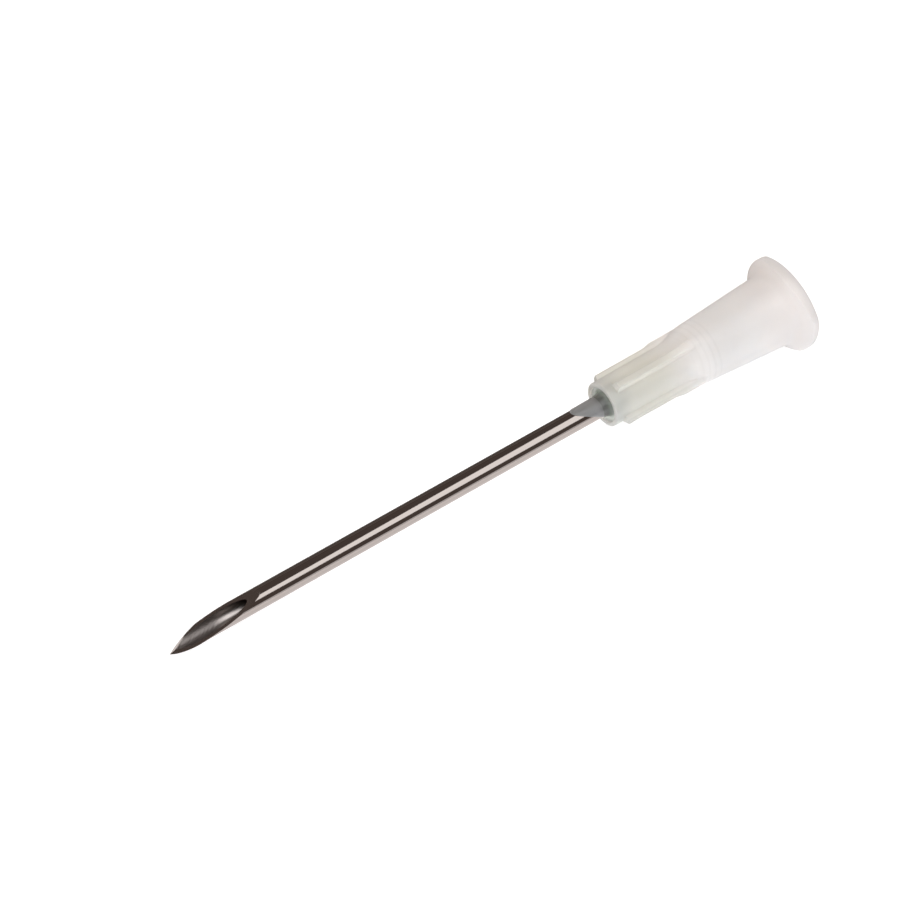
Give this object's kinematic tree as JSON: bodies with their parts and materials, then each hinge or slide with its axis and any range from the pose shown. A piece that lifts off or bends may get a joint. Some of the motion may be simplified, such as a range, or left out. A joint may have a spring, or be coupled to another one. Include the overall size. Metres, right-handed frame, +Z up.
{
  "type": "hypodermic needle",
  "caption": "Hypodermic needle: a steel cannula with a lancet point, bonded into a ribbed white plastic hub with a conical socket and a lugged flange.",
  "frame": {"origin": "middle of the part's box, at floor level, with the needle lying on the flange's rim and on its point", "axes": "+X runs along the needle from the point to the hub, apart from a fall of about 3 degrees to the point; +Z is up, and the bevel faces up; +Y is sideways"},
  "size_m": [0.0562, 0.008, 0.0069],
  "materials": {
    "stainless_steel": "drawn and electropolished",
    "polypropylene": "natural white, moulded, slightly translucent",
    "cured_resin": "clear and glossy"
  },
  "bodies": {
    "root": {"cannula": "stainless_steel", "hub": "polypropylene", "adhesive_bead": "cured_resin"}
  },
  "joints": []
}
